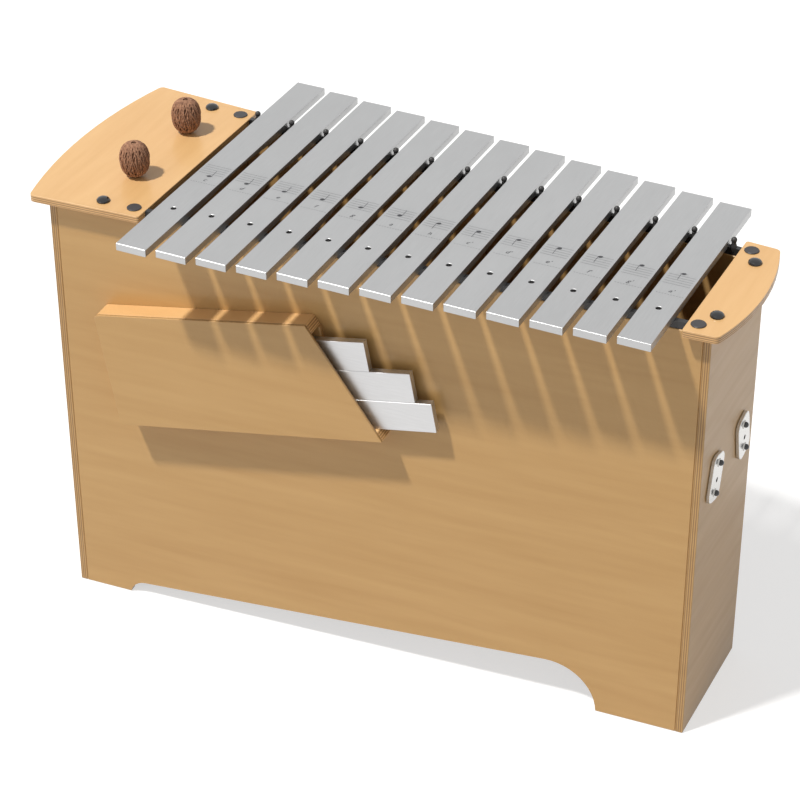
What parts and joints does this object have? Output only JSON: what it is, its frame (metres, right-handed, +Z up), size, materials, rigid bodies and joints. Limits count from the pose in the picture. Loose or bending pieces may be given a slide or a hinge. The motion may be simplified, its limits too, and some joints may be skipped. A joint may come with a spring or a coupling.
{
  "type": "bass metallophone",
  "caption": "Large floor-standing metallophone: tapered plywood resonator box, flat metal tone bars on rubber rails, a tilted holder with spare bars and mallets stored upright.",
  "frame": {"origin": "on the floor, under the middle of the whole instrument", "axes": "+X towards the high notes, +Y away from the player, +Z up"},
  "size_m": [0.9076, 0.4618, 0.6439],
  "materials": {
    "birch_ply": "satin lacquer",
    "board_ply": "satin lacquer",
    "inner_ply": "raw",
    "aluminium": "brushed and anodised",
    "black_rubber": "satin",
    "black_gloss": "gloss black",
    "black_cap": "matt",
    "zinc_screw": "zinc plated",
    "bright_steel": "bright",
    "wound_yarn": "wound wool",
    "beech_stick": "lacquered"
  },
  "bodies": {
    "case": {"front_panel": "birch_ply", "back_panel": "birch_ply", "end_panel_left": "birch_ply", "end_panel_right": "birch_ply", "bottom_board": "inner_ply", "bottom_cleat_left": "inner_ply", "bottom_cleat_right": "inner_ply", "mallet_bay_wall": "inner_ply", "partition": "inner_ply", "top_board_left": "board_ply", "top_board_right": "board_ply", "front_rail": "black_rubber", "back_rail": "black_rubber", "holder_back": "birch_ply", "holder_bottom": "birch_ply", "holder_top": "birch_ply", "holder_front": "birch_ply", "holder_end": "birch_ply", "dome_screw_left_front": "black_gloss", "dome_screw_left_back": "black_gloss", "dome_screw_right_front": "black_gloss", "dome_screw_right_back": "black_gloss", "sunk_screw_left_front": "zinc_screw", "sunk_screw_left_back": "zinc_screw", "sunk_screw_right_front": "zinc_screw", "sunk_screw_right_back": "zinc_screw", "screw_cap_left_front": "black_cap", "screw_cap_left_back": "black_cap", "screw_cap_right_front": "black_cap", "screw_cap_right_back": "black_cap", "coupling_plate_front": "bright_steel", "coupling_plate_back": "bright_steel", "plate_screw_front_upper": "black_gloss", "plate_screw_front_lower": "black_gloss", "plate_screw_back_upper": "black_gloss", "plate_screw_back_lower": "black_gloss"},
    "bar_c": {"tone_bar_c": "aluminium"},
    "bar_d": {"tone_bar_d": "aluminium"},
    "bar_e": {"tone_bar_e": "aluminium"},
    "bar_f": {"tone_bar_f": "aluminium"},
    "bar_g": {"tone_bar_g": "aluminium"},
    "bar_a": {"tone_bar_a": "aluminium"},
    "bar_h": {"tone_bar_h": "aluminium"},
    "bar_c1": {"tone_bar_c1": "aluminium"},
    "bar_d1": {"tone_bar_d1": "aluminium"},
    "bar_e1": {"tone_bar_e1": "aluminium"},
    "bar_f1": {"tone_bar_f1": "aluminium"},
    "bar_g1": {"tone_bar_g1": "aluminium"},
    "bar_a1": {"tone_bar_a1": "aluminium"},
    "spare_f_sharp": {"spare_bar_f_sharp": "aluminium"},
    "spare_b_flat": {"spare_bar_b_flat": "aluminium"},
    "spare_f_sharp_high": {"spare_bar_f_sharp_high": "aluminium"},
    "mallet_front": {"mallet_head_front": "wound_yarn", "mallet_stick_front": "beech_stick"},
    "mallet_back": {"mallet_head_back": "wound_yarn", "mallet_stick_back": "beech_stick"}
  },
  "joints": [
    {"name": "bar_c_lift", "type": "slide", "parent": "case", "child": "bar_c", "axis": [0, 0, 1], "range_m": [0, 0.05]},
    {"name": "bar_d_lift", "type": "slide", "parent": "case", "child": "bar_d", "axis": [0, 0, 1], "range_m": [0, 0.05]},
    {"name": "bar_e_lift", "type": "slide", "parent": "case", "child": "bar_e", "axis": [0, 0, 1], "range_m": [0, 0.05]},
    {"name": "bar_f_lift", "type": "slide", "parent": "case", "child": "bar_f", "axis": [0, 0, 1], "range_m": [0, 0.05]},
    {"name": "bar_g_lift", "type": "slide", "parent": "case", "child": "bar_g", "axis": [0, 0, 1], "range_m": [0, 0.05]},
    {"name": "bar_a_lift", "type": "slide", "parent": "case", "child": "bar_a", "axis": [0, 0, 1], "range_m": [0, 0.05]},
    {"name": "bar_h_lift", "type": "slide", "parent": "case", "child": "bar_h", "axis": [0, 0, 1], "range_m": [0, 0.05]},
    {"name": "bar_c1_lift", "type": "slide", "parent": "case", "child": "bar_c1", "axis": [0, 0, 1], "range_m": [0, 0.05]},
    {"name": "bar_d1_lift", "type": "slide", "parent": "case", "child": "bar_d1", "axis": [0, 0, 1], "range_m": [0, 0.05]},
    {"name": "bar_e1_lift", "type": "slide", "parent": "case", "child": "bar_e1", "axis": [0, 0, 1], "range_m": [0, 0.05]},
    {"name": "bar_f1_lift", "type": "slide", "parent": "case", "child": "bar_f1", "axis": [0, 0, 1], "range_m": [0, 0.05]},
    {"name": "bar_g1_lift", "type": "slide", "parent": "case", "child": "bar_g1", "axis": [0, 0, 1], "range_m": [0, 0.05]},
    {"name": "bar_a1_lift", "type": "slide", "parent": "case", "child": "bar_a1", "axis": [0, 0, 1], "range_m": [0, 0.05]},
    {"name": "spare_f_sharp_slide", "type": "slide", "parent": "case", "child": "spare_f_sharp", "axis": [0.9823, 0.0606, 0.1771], "range_m": [0, 0.3]},
    {"name": "spare_b_flat_slide", "type": "slide", "parent": "case", "child": "spare_b_flat", "axis": [0.9823, 0.0606, 0.1771], "range_m": [0, 0.3]},
    {"name": "spare_f_sharp_high_slide", "type": "slide", "parent": "case", "child": "spare_f_sharp_high", "axis": [0.9823, 0.0606, 0.1771], "range_m": [0, 0.3]},
    {"name": "mallet_front_lift", "type": "slide", "parent": "case", "child": "mallet_front", "axis": [0, 0, 1], "range_m": [0, 0.33]},
    {"name": "mallet_back_lift", "type": "slide", "parent": "case", "child": "mallet_back", "axis": [0, 0, 1], "range_m": [0, 0.33]}
  ]
}
